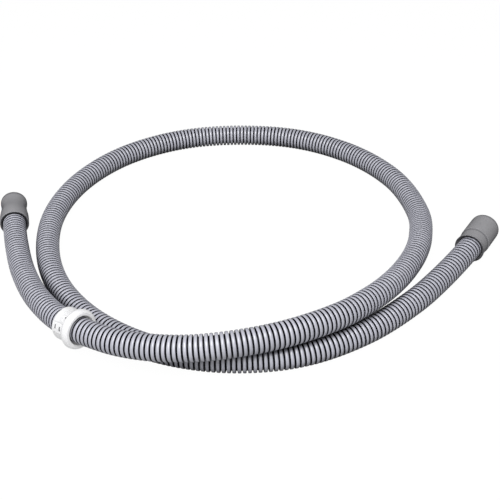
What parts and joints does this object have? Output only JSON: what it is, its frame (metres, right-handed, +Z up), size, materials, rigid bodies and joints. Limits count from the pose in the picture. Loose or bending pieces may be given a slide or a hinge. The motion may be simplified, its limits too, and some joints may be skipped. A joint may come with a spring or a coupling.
{
  "type": "washing machine drain hose",
  "caption": "Grey corrugated drain hose lying in one loop, with a rubber cuff on each end and a white plastic clip snapped round it",
  "frame": {"origin": "middle of the bounding box in plan, on the floor that the hose lies on", "axes": "+Z up; +X along the longer side of the loop, from the machine end cuff towards the drain end cuff; +Y from the crossing of the two runs towards the far side of the loop"},
  "size_m": [0.5216, 0.4491, 0.0479],
  "materials": {
    "hose_plastic": "semi-gloss light grey polypropylene",
    "cuff_rubber": "matte mid-grey rubber",
    "clip_plastic": "satin white plastic"
  },
  "bodies": {
    "root": {"hose": "hose_plastic", "machine_end_cuff": "cuff_rubber", "drain_end_cuff": "cuff_rubber", "hose_clip": "clip_plastic"}
  },
  "joints": []
}
